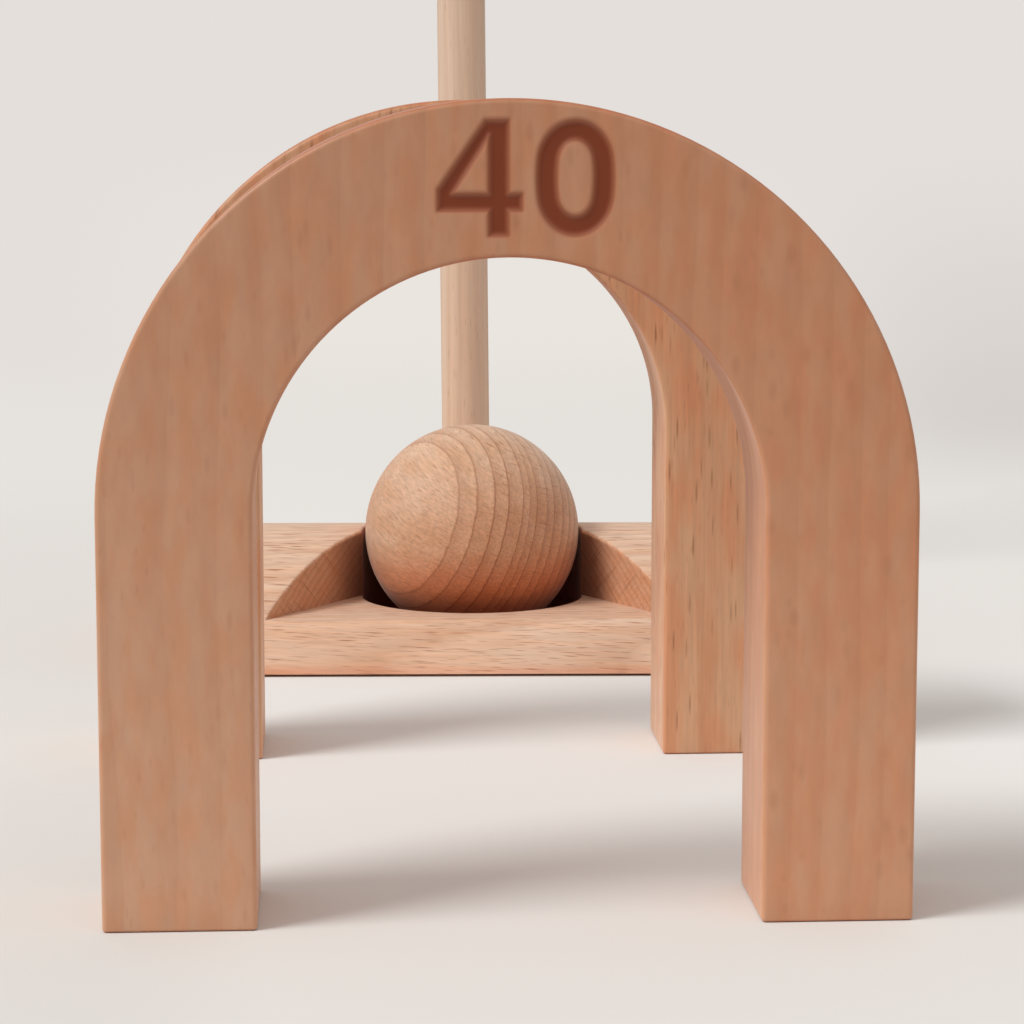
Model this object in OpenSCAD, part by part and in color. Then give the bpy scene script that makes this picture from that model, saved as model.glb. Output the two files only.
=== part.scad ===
// Small croquet set in solid beech: two wickets one behind the other, a ball resting in the
// pocket of its cradle, and a mallet standing behind the ball, ready to strike.
// X runs along the cradle, Y along the line of play towards the mallet, and Z is up.
// The origin is on the floor that all pieces stand on, straight below the middle of the ball.

/* [Wickets] */
// Width of a wicket over its two legs
wicket_w = 100; // [80:1:120]
// Height of a wicket from the floor to its crown
wicket_h = 101; // [90:1:130]
// Width of the wood in the legs and round the arch
wicket_band = 18.9; // [14:0.1:24]
// Thickness of the board, along the line of play
wicket_t = 19.5; // [12:0.5:26]
// Radius of the rounding along the edges
wicket_edge = 0.6; // [0.3:0.1:3]

/* [Numbers] */
// Height of the burnt-in digits
digit_h = 13.6; // [8:0.1:14]
// Width of the strokes
digit_stroke = 2.25; // [1.5:0.05:2.5]
// Clear space between the two digits
digit_space = 1.9; // [1:0.1:3]
// Sideways offset of the number from the crown's middle
number_x = 1.85; // [-3:0.05:3]
// Depth that the hot stamp sank into the wood
digit_depth = 0.4; // [0.2:0.05:1]

/* [Ball and cradle] */
// Diameter of the ball
ball_d = 40; // [30:0.5:46]
// Clearance round the ball in its pocket, on the radius
pocket_gap = 0.5; // [0.3:0.1:1]
// Wood left under the pocket
pocket_floor = 1; // [1:0.1:4]
// Clearance under the ball
ball_seat_gap = 0.1; // [0.1:0.05:0.3]
// Length of the cradle
cradle_len = 110; // [100:1:140]
// Height of the cradle at its crest
cradle_h = 21.5; // [19:0.5:26]
// Radius of the cradle's domed top
dome_r = 48.5; // [44:0.5:60]
// How far the cradle's crest lies behind the middle of the pocket
crest_back = 4.8; // [0:0.1:8]
// Height of the notch's floor
notch_floor = 8.9; // [6:0.1:12]
// Width of the notch at its mouth
notch_mouth = 74.5; // [60:0.5:90]

/* [Mallet] */
// Overall height of the standing mallet
mallet_h = 250; // [180:5:400]
// Diameter of the handle
handle_d = 10; // [8:0.5:14]
// Wood left in the head under the handle
bore_floor = 9.7; // [6:0.1:14]
// Angle that the handle leans to the left
handle_lean = 0.5; // [-2:0.1:2]
// Glue gap round the handle, on the radius
glue_gap = 0.05; // [0.02:0.01:0.1]
// Diameter of the turned head
head_d = 30; // [27:0.5:36]
// Length of the head, face to face
head_len = 60; // [48:1:80]
// Width of the flat sole planed on the head
sole_w = 16; // [10:0.5:20]
// Radius of the rounding round the head's faces and the handle's end
mallet_edge = 1.5; // [0.5:0.1:2.5]

/* [Layout] */
// Clear floor between the two wickets
wicket_gap = 78; // [60:0.5:140]
// Clear floor between the rear wicket and the cradle
cradle_gap = 46.5; // [30:0.5:80]
// Clear floor between the cradle and the mallet's head
mallet_gap = 0.4; // [0.3:0.1:20]
// Sideways place of the front wicket
front_wicket_x = 3.5; // [-10:0.05:10]
// Sideways place of the rear wicket
rear_wicket_x = -2.15; // [-10:0.05:10]
// Angle that the wickets are turned from the cradle
wicket_turn = 2.4; // [-5:0.1:5]
// Sideways place of the mallet
mallet_x = -0.8; // [-3:0.05:3]

/* [Hidden] */
$fn = 96;
cut = 1; // overrun of a cutting solid past the face it opens

// Wicket: the arch is half a ring on two straight legs
arch_mid_r = (wicket_w - wicket_band) / 2;
spring_h = wicket_h - wicket_w / 2;
number_z = wicket_h - wicket_band / 2;

// Digits: proportions of a plain bold sans
zero_w = 0.67 * digit_h;
four_w = 0.73 * digit_h;
four_stem_right = 0.34 * four_w;
four_stem_left = four_stem_right - digit_stroke;
four_bar_top = -0.14 * digit_h;
four_bar_bottom = four_bar_top - 0.85 * digit_stroke;
three_w = 0.65 * digit_h;
three_lower_r = three_w / 2;
three_upper_r = 0.27 * digit_h;
three_bar_w = 0.12 * digit_h;

// Cradle: a flat-bottomed segment of a cylinder that lies along X
dome_z = cradle_h - dome_r;
cradle_half = sqrt(dome_r * dome_r - dome_z * dome_z);
cradle_front = cradle_half - crest_back;
pocket_r = ball_d / 2 + pocket_gap;
ball_z = pocket_floor + ball_seat_gap + ball_d / 2;
mouth_reach = sqrt(dome_r * dome_r - pow(notch_floor - dome_z, 2)) - crest_back;

// Mallet: the head's axis lies along Y
head_axis_z = sqrt(pow(head_d / 2, 2) - pow(sole_w / 2, 2));
mallet_y = crest_back + cradle_half + mallet_gap + head_len / 2;

// Layout along the line of play
rear_wicket_y = -(cradle_front + cradle_gap + wicket_t / 2);
front_wicket_y = rear_wicket_y - wicket_t - wicket_gap;

// Rectangle with round corners, centred on the origin
module round_rect(w, h, r) {
    square([w, h - 2 * r], center = true);
    square([w - 2 * r, h], center = true);
    for (x = [-1, 1], y = [-1, 1]) {
        translate([x * (w / 2 - r), y * (h / 2 - r)]) circle(r = r);
    }
}

// Upright oval with straight sides, centred on the origin
module oval(w, h) {
    square([w, h - w], center = true);
    for (y = [-1, 1]) {
        translate([0, y * (h - w) / 2]) circle(d = w);
    }
}

// Zero: an oval with an oval counter
module digit_zero() {
    difference() {
        oval(zero_w, digit_h);
        oval(zero_w - 2 * digit_stroke, digit_h - 2 * digit_stroke);
    }
}

// Four: a stem, a bar and a slanting stroke that close a triangle
module digit_four() {
    top = digit_h / 2;
    left = -four_w / 2;
    slant_top = four_stem_left - 0.2 * digit_stroke;
    slant_foot = four_bar_top + 0.25 * digit_stroke;
    counter_top = top - 0.75 * digit_stroke;
    counter_left = left + 0.72 * digit_stroke;
    difference() {
        polygon([
            [left, four_bar_bottom], [four_stem_left, four_bar_bottom], [four_stem_left, -top],
            [four_stem_right, -top], [four_stem_right, four_bar_bottom], [four_w / 2, four_bar_bottom],
            [four_w / 2, four_bar_top], [four_stem_right, four_bar_top], [four_stem_right, top],
            [slant_top, top], [left, slant_foot]
        ]);
        polygon([
            [four_stem_left, four_bar_top], [four_stem_left, counter_top], [counter_left, four_bar_top]
        ]);
    }
}

// Three: two rings, one on the other, open to the left between their middles
module digit_three() {
    upper_y = digit_h / 2 - three_upper_r;
    lower_y = three_lower_r - digit_h / 2;
    bar_top = upper_y - three_upper_r + digit_stroke;
    bar_bottom = lower_y + three_lower_r - digit_stroke;
    difference() {
        union() {
            translate([0, upper_y]) circle(r = three_upper_r);
            translate([0, lower_y]) circle(r = three_lower_r);
        }
        translate([0, upper_y]) circle(r = three_upper_r - digit_stroke);
        translate([0, lower_y]) circle(r = three_lower_r - digit_stroke);
        translate([-three_w, lower_y]) square([three_w, upper_y - lower_y]);
    }
    translate([-three_bar_w, bar_bottom]) square([three_bar_w, bar_top - bar_bottom]);
}

// A tens number: the first digit is the child, and a zero follows it
module number(first_w) {
    pair_w = first_w + digit_space + zero_w;
    translate([(first_w - pair_w) / 2, 0]) children();
    translate([(pair_w - zero_w) / 2, 0]) digit_zero();
}

// One wicket, cut from a board, with the number's outline as its child
module wicket() {
    difference() {
        union() {
            translate([0, 0, spring_h]) rotate([90, 0, 0]) rotate_extrude(angle = 180)
                translate([arch_mid_r, 0]) round_rect(wicket_band, wicket_t, wicket_edge);
            for (side = [-1, 1]) {
                translate([side * arch_mid_r, 0, 0]) linear_extrude(height = spring_h)
                    round_rect(wicket_band, wicket_t, wicket_edge);
            }
        }
        translate([number_x, digit_depth - wicket_t / 2, number_z]) rotate([90, 0, 0])
            linear_extrude(height = digit_depth + cut) children();
    }
}

module front_wicket() {
    color("#BE8D6C") translate([front_wicket_x, front_wicket_y, 0]) rotate([0, 0, wicket_turn])
        wicket() number(four_w) digit_four();
}

module rear_wicket() {
    color("#C4946F") translate([rear_wicket_x, rear_wicket_y, 0]) rotate([0, 0, wicket_turn])
        wicket() number(three_w) digit_three();
}

// Cradle: dome, less the V-shaped notch that opens towards the wickets and the ball's pocket
module ball_cradle() {
    reach = cradle_front + cut;
    reach_half_w = pocket_r + (notch_mouth / 2 - pocket_r) * reach / mouth_reach;
    color("#DDB594") difference() {
        translate([0, crest_back, 0]) rotate([90, 0, 90])
            linear_extrude(height = cradle_len, center = true) intersection() {
                translate([0, dome_z]) circle(r = dome_r);
                translate([-dome_r, 0]) square([2 * dome_r, cradle_h + cut]);
            }
        translate([0, 0, notch_floor]) linear_extrude(height = cradle_h) polygon([
            [-pocket_r, 0], [-reach_half_w, -reach], [reach_half_w, -reach], [pocket_r, 0]
        ]);
        translate([0, 0, pocket_floor]) cylinder(r = pocket_r, h = cradle_h);
    }
}

module ball() {
    color("#CF9E78") translate([0, 0, ball_z]) sphere(d = ball_d);
}

// Head: a turned barrel with round rims, planed flat where it stands and bored for the handle
module mallet_head() {
    flat = head_len / 2 - mallet_edge;
    color("#CC9C77") difference() {
        translate([mallet_x, mallet_y, head_axis_z]) rotate([90, 0, 0]) rotate_extrude() {
            translate([0, -flat]) square([head_d / 2, 2 * flat]);
            translate([0, -head_len / 2]) square([head_d / 2 - mallet_edge, head_len]);
            for (end = [-1, 1]) {
                translate([head_d / 2 - mallet_edge, end * flat]) circle(r = mallet_edge);
            }
        }
        translate([mallet_x - head_d, mallet_y - head_len, -head_d])
            cube([2 * head_d, 2 * head_len, head_d]);
        translate([mallet_x, mallet_y, bore_floor]) rotate([0, -handle_lean, 0])
            cylinder(r = handle_d / 2 + glue_gap, h = head_d);
    }
}

// Handle: a straight dowel, glued in the head, with its free end rounded over
module mallet_handle() {
    length = (mallet_h - bore_floor) / cos(handle_lean);
    color("#D6AF8C") translate([mallet_x, mallet_y, bore_floor]) rotate([0, -handle_lean, 0])
        rotate_extrude() {
            square([handle_d / 2, length - mallet_edge]);
            square([handle_d / 2 - mallet_edge, length]);
            translate([handle_d / 2 - mallet_edge, length - mallet_edge]) circle(r = mallet_edge);
        }
}

ball_cradle();
ball();
front_wicket();
rear_wicket();
mallet_head();
mallet_handle();
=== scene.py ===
# Small croquet set in solid beech, dressed over its packed construction model: two wickets with
# burnt-in numbers, a ball in the pocket of its cradle, and a mallet that stands behind the ball.
# X runs along the cradle, Y along the line of play towards the mallet, and Z is up.
import math
from collections import namedtuple

import bmesh
import bpy
import numpy as np
from mathutils import Matrix, Vector


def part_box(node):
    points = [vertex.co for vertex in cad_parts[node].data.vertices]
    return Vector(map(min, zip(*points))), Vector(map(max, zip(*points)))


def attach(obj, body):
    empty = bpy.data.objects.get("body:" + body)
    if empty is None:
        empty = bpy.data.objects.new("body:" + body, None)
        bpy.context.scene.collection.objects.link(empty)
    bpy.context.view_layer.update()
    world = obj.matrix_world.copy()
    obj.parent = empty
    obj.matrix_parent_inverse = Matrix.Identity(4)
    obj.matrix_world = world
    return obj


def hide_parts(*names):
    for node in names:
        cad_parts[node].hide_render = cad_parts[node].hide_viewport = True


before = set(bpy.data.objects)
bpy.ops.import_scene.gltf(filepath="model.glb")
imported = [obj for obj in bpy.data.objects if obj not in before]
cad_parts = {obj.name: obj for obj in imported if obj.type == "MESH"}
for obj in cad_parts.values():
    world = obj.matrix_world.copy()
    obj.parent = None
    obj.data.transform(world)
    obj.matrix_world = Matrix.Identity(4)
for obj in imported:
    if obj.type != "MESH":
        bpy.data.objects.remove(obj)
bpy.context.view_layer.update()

MM = 0.001   # shapes below are worked out in millimetres and written in metres
TINY = 1e-6  # a difference that counts as none, and the least that anything is divided by


# Sizes

Box = namedtuple("Box", "lowest highest size middle")


def node_box(node):
    """A construction node's lowest and highest corner, size and middle, in millimetres."""
    lowest, highest = (np.array(corner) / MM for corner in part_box(node))
    return Box(lowest, highest, highest - lowest, (lowest + highest) / 2)


# Wickets: the band, the rounding and the turn repeat the construction, the rest is in its boxes
WICKET_BAND = 18.9
WICKET_EDGE = 0.6
WICKET_TURN = math.radians(2.4)
FOOT_EDGE = 0.4

# Digits, burnt in by a hot stamp, with the proportions of a plain bold sans
DIGIT_H = 13.6
DIGIT_STROKE = 2.25
DIGIT_SPACE = 1.9
DIGIT_DEPTH = 0.4
NUMBER_X = 1.85
ZERO_W = 0.67 * DIGIT_H
FOUR_W = 0.73 * DIGIT_H
THREE_W = 0.65 * DIGIT_H
STAMP_WALL = 0.6    # width over which the stamp's edge slopes down
SCORCH = 0.75       # how far the burn browns the wood round a stroke
STAMP_MESH = 0.13   # spacing of the mesh that carries the digits
STAMP_MARGIN = math.radians(4)  # how far that mesh goes on past the digits, round the arch

# Ball and cradle
BALL_WOBBLE = 0.03  # how far the turning leaves the ball out of round
POCKET_GAP = 0.5
POCKET_FLOOR = 1.0
NOTCH_FLOOR = 8.9
NOTCH_MOUTH = 74.5
RIM_EDGE = 0.9      # softening of the notch's upper edge
POCKET_EDGE = 0.35
MOUTH_EDGE = 2.6    # softening where the notch's floor runs out over the front
CRADLE_EDGE = 0.7
UNDER_RISE = 0.42   # the underside is eased off along the rim, which leaves a dark slit on the floor
UNDER_RUN = 4.0
RAY_STEP = 0.9      # degrees between the rays that the block's surface is drawn along

# Mallet
SOLE_W = 16.0
HANDLE_D = 10.0
HANDLE_LEAN = math.radians(0.5)  # to the left
HANDLE_EDGE = 1.5
FOOT_BEVEL = 0.2    # at the handle's lower end, inside the head
HEAD_EDGE = 1.5
GLUE_GAP = 0.05
BORE_EDGE = 0.3
DOWEL_POINTS = 96   # points round the handle and its bore


# Meshes

CREASE = math.radians(35)  # edges sharper than this stay crisp
MERGE = 2e-6               # points nearer than this are one, in metres


def grid_faces(rows, columns, first=0, closed=False):
    """Quads between the points of a grid that is listed row by row from number first on.
    Where it is closed, the last column is joined to the first one."""
    here = np.arange(columns if closed else columns - 1)
    beside = (here + 1) % columns
    row = first + np.arange(rows - 1)[:, None] * columns
    quads = np.stack([row + here, row + beside, row + columns + beside, row + columns + here], -1)
    return quads.reshape(-1, 4)


def close_up(mesh):
    """Merges the mesh's doubled points and turns all its faces outwards."""
    work = bmesh.new()
    work.from_mesh(mesh)
    bmesh.ops.remove_doubles(work, verts=work.verts, dist=MERGE)
    bmesh.ops.recalc_face_normals(work, faces=work.faces)
    work.to_mesh(mesh)
    work.free()


def piece(name, points, faces, material, body, node, burn=None):
    """One closed piece: points in millimetres, and faces that name them. Burn is how far the hot stamp
    charred each point, from 0 to 1."""
    mesh = bpy.data.meshes.new(name)
    mesh.from_pydata((points.reshape(-1, 3) * MM).tolist(), [], faces)
    if burn is not None:
        charred = mesh.attributes.new("burn", "FLOAT", "POINT").data
        charred.foreach_set("value", burn.ravel().astype(np.float32))
    close_up(mesh)
    mesh.shade_smooth()
    mesh.set_sharp_from_angle(angle=CREASE)
    mesh.materials.append(material)
    made = bpy.data.objects.new(name, mesh)
    bpy.context.scene.collection.objects.link(made)
    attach(made, body)
    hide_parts(node)
    return made


def smooth_step(value, low, high):
    """0 below low and 1 above high, joined by the curve 3t^2 - 2t^3."""
    share = np.clip((value - low) / (high - low), 0, 1)
    return share * share * (3 - 2 * share)


# Digits: each function gives a point's distance to a digit's outline, negative inside the stroke

def stadium_distance(x, z, width, height):
    """Upright oval with straight sides: the distance to its middle line, less half the width."""
    return np.hypot(x, np.maximum(np.abs(z) - (height - width) / 2, 0)) - width / 2


def block_distance(x, z, left, right, low, high):
    """Upright rectangle: how far the point lies beyond the side that it passes most."""
    across = np.abs(x - (left + right) / 2) - (right - left) / 2
    return np.maximum(across, np.abs(z - (low + high) / 2) - (high - low) / 2)


def polygon_distance(x, z, corners):
    """Distance to the nearest side, negative where a line to the right crosses an odd number of sides."""
    start = np.array(corners)
    end = np.roll(start, -1, axis=0)
    side = end - start
    to_x, to_z = x[..., None] - start[:, 0], z[..., None] - start[:, 1]
    along = np.clip((to_x * side[:, 0] + to_z * side[:, 1]) / (side ** 2).sum(1), 0, 1)
    gap = np.hypot(to_x - along * side[:, 0], to_z - along * side[:, 1]).min(-1)
    level = z[..., None]
    passes = (start[:, 1] > level) != (end[:, 1] > level)
    rise = np.where(side[:, 1] == 0, 1, side[:, 1])
    inside = (passes & (to_x < to_z / rise * side[:, 0])).sum(-1) % 2 == 1
    return np.where(inside, -gap, gap)


def zero_distance(x, z):
    """Zero: a band of one stroke's width along an upright oval, halfway between one with straight sides
    and an ellipse, whose distance is close to f(f - 1) over the slope of f."""
    straight = stadium_distance(x, z, ZERO_W - DIGIT_STROKE, DIGIT_H - DIGIT_STROKE)
    a, b = (ZERO_W - DIGIT_STROKE) / 2, (DIGIT_H - DIGIT_STROKE) / 2
    f = np.hypot(x / a, z / b)
    ellipse = f * (f - 1) / np.maximum(np.hypot(x / a ** 2, z / b ** 2), TINY)
    return np.abs((straight + ellipse) / 2) - DIGIT_STROKE / 2


def four_distance(x, z):
    """Four: the outline of stem, bar and slanting stroke, less the triangle that they close."""
    top, left = DIGIT_H / 2, -FOUR_W / 2
    stem_right = 0.34 * FOUR_W
    stem_left = stem_right - DIGIT_STROKE
    bar_top = -0.14 * DIGIT_H
    bar_low = bar_top - 0.85 * DIGIT_STROKE
    outline = [
        (left, bar_low), (stem_left, bar_low), (stem_left, -top), (stem_right, -top),
        (stem_right, bar_low), (FOUR_W / 2, bar_low), (FOUR_W / 2, bar_top), (stem_right, bar_top),
        (stem_right, top), (stem_left - 0.2 * DIGIT_STROKE, top), (left, bar_top + 0.25 * DIGIT_STROKE),
    ]
    counter = [
        (stem_left, bar_top), (stem_left, top - 0.75 * DIGIT_STROKE), (left + 0.72 * DIGIT_STROKE, bar_top),
    ]
    return np.maximum(polygon_distance(x, z, outline), -polygon_distance(x, z, counter))


def three_distance(x, z):
    """Three: two rings, one on the other, opened to the left between their middles, and a short bar."""
    upper_r, lower_r = 0.27 * DIGIT_H, THREE_W / 2
    upper_z, lower_z = DIGIT_H / 2 - upper_r, lower_r - DIGIT_H / 2
    upper, lower = np.hypot(x, z - upper_z) - upper_r, np.hypot(x, z - lower_z) - lower_r
    rings = np.maximum(np.minimum(upper, lower), -(np.minimum(upper, lower) + DIGIT_STROKE))
    opened = np.maximum(rings, -block_distance(x, z, -THREE_W, 0, lower_z, upper_z))
    bar_top = upper_z - upper_r + DIGIT_STROKE
    bar_low = lower_z + lower_r - DIGIT_STROKE
    return np.minimum(opened, block_distance(x, z, -0.12 * DIGIT_H, 0, bar_low, bar_top))


def number_distance(x, z, first_distance, first_w):
    """A tens number: its first digit and a zero, side by side and centred on the number's middle."""
    pair_w = first_w + DIGIT_SPACE + ZERO_W
    first_x, zero_x = (first_w - pair_w) / 2, (pair_w - ZERO_W) / 2
    return np.minimum(first_distance(x - first_x, z), zero_distance(x - zero_x, z))


# Wickets

def board_section(half_w, half_t, radius, face_points):
    """Outline of the board's section, once round. Every point is a point of the inner rectangle, whose
    corners are the centres of the roundings, and a unit direction in which the edge's radius is added.
    The front face has face_points points, because it carries the digits."""
    corner_points = 7
    corners = np.array([(1, 1), (-1, 1), (-1, -1), (1, -1)]) * (half_w - radius, half_t - radius)
    # each side's two corners, its normal and its points: back, left, front and right
    sides = [
        (0, 1, (0, 1), 8), (1, 2, (-1, 0), 8), (2, 3, (0, -1), face_points), (3, 0, (1, 0), 10),
    ]
    base, direction = [], []
    for start, end, normal, count in sides:
        share = np.linspace(0, 1, count)[:, None]
        base.append(corners[start] + share * (corners[end] - corners[start]))
        direction.append(np.tile(normal, (count, 1)))
        turn = math.atan2(normal[1], normal[0]) + np.linspace(0, math.pi / 2, corner_points)[1:-1]
        base.append(np.tile(corners[end], (corner_points - 2, 1)))
        direction.append(np.stack([np.cos(turn), np.sin(turn)], -1))
    return np.concatenate(base), np.concatenate(direction).astype(float)


def wicket(name, first_distance, first_w, material):
    """The board's section carried up the left leg, round half a ring and down the right leg. A foot's
    edge is a quarter circle: the section draws in by r(1 - sin a) at the height r(1 - cos a). Inside a
    stroke of a digit the front face steps back by the stamp's depth."""
    box = node_box(name)
    c, s = math.cos(WICKET_TURN), math.sin(WICKET_TURN)
    round_off = 2 * WICKET_EDGE
    straight = np.linalg.solve([[c, s], [s, c]], box.size[:2] - round_off)
    width, thick = straight + round_off
    mid_r = (width - WICKET_BAND) / 2
    spring = box.size[2] - width / 2
    number_z = box.size[2] - WICKET_BAND / 2

    # stations: the foot's rounding, the leg, and the arch with its finer stretch under the digits
    turn = np.linspace(0, math.pi / 2, 5)
    leg = np.linspace(FOOT_EDGE, spring, 20)[1:]
    leg_z = np.concatenate([FOOT_EDGE * (1 - np.cos(turn)), leg])
    leg_in = np.concatenate([FOOT_EDGE * (1 - np.sin(turn)), np.zeros_like(leg)])
    reach = math.atan2(first_w + DIGIT_SPACE + ZERO_W, 2 * mid_r) + STAMP_MARGIN
    centre = math.pi / 2 - math.atan2(NUMBER_X, mid_r)
    fine = np.linspace(centre + reach, centre - reach, int(2 * reach * mid_r / STAMP_MESH))
    arch = np.concatenate([
        np.linspace(math.pi, fine[0], 32)[1:-1], fine, np.linspace(fine[-1], 0, 32)[1:-1],
    ])
    out_x = np.concatenate([-np.ones_like(leg_z), np.cos(arch), np.ones_like(leg_z)])
    out_z = np.concatenate([np.zeros_like(leg_z), np.sin(arch), np.zeros_like(leg_z)])
    path_z = np.concatenate([leg_z, np.full_like(arch, spring), leg_z[::-1]])
    inset = np.concatenate([leg_in, np.zeros_like(arch), leg_in[::-1]])

    face_points = int((WICKET_BAND - round_off) / STAMP_MESH)
    base, direction = board_section(WICKET_BAND / 2, thick / 2, WICKET_EDGE, face_points)
    offset = base + (WICKET_EDGE - inset[:, None, None]) * direction
    radial = mid_r + offset[..., 0]
    x = radial * out_x[:, None]
    z = path_z[:, None] + np.where(out_z[:, None] > 0, radial * out_z[:, None], 0)
    stroke = number_distance(x - NUMBER_X, z - number_z, first_distance, first_w)
    on_face = direction[:, 1] < -0.999
    depth = np.where(on_face, DIGIT_DEPTH * smooth_step(-stroke, -STAMP_WALL, STAMP_WALL), 0)
    burn = np.where(on_face, smooth_step(-stroke, -SCORCH, 0.7 * SCORCH), 0)
    y = offset[..., 1] + depth
    points = np.stack([box.middle[0] + x * c - y * s, box.middle[1] + x * s + y * c, z], -1)

    rows, columns = x.shape
    faces = grid_faces(rows, columns, closed=True).tolist()
    faces += [list(range(columns)), list(range((rows - 1) * columns, rows * columns))]
    return piece(name + "_arch", points, faces, material, name, name, burn)


# Ball and cradle

def ball(material):
    """The six faces of a cube, ruled by lines at equal angles and pushed out to the ball's radius, which
    a slow wave round the turning axis takes a few hundredths out of round."""
    box = node_box("ball")
    steps = 49
    ruled = np.tan(np.linspace(-math.pi / 4, math.pi / 4, steps))
    a, b = np.meshgrid(ruled, ruled, indexing="ij")
    one = np.ones_like(a)
    way = np.stack([
        np.stack(np.roll([sign * one, a, b], turn, axis=0), -1) for sign in (-1, 1) for turn in range(3)
    ])
    way /= np.linalg.norm(way, axis=-1, keepdims=True)
    around = np.arctan2(way[..., 2], way[..., 0])
    wave = BALL_WOBBLE * (np.sin(2 * around) * (1 - way[..., 1] ** 2) - 1) / 2
    points = box.middle + way * (box.size[2] / 2 + wave)[..., None]
    faces = np.concatenate([grid_faces(steps, steps, first=side * steps * steps) for side in range(6)])
    return piece("ball_turned", points, faces.tolist(), material, "ball", "ball")


def stretch(start, end, count):
    """Points on the straight way from start to end, ray by ray, without the last one."""
    share = np.arange(count)[:, None] / count
    return start[:, None] + share * (end - start)[:, None]


def bend(start, corner, end, count):
    """A corner rounded off by the curve (1-t)^2 start + 2t(1-t) corner + t^2 end, ray by ray."""
    share = (np.arange(count) / count)[:, None]
    start, corner, end = start[:, None], corner[:, None], end[:, None]
    return (1 - share) ** 2 * start + 2 * share * (1 - share) * corner + share ** 2 * end


def ray_angles(front, back, half_length, mouth):
    """Angles of the cradle's rays, about RAY_STEP apart, with every corner of the plan on a ray of its
    own. The reach of the block to the front and the back and half its length give its corners."""
    back_corner, front_corner = math.atan2(back, half_length), math.atan2(front, half_length)
    corners = sorted([
        0, back_corner, math.pi / 2, math.pi - back_corner, math.pi, math.pi + front_corner,
        math.pi + mouth, 1.5 * math.pi, 2 * math.pi - mouth, 2 * math.pi - front_corner, 2 * math.pi,
    ])
    return np.concatenate([
        np.linspace(a, b, max(3, round(math.degrees(b - a) / RAY_STEP)), endpoint=False)
        for a, b in zip(corners, corners[1:])
    ])


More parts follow.
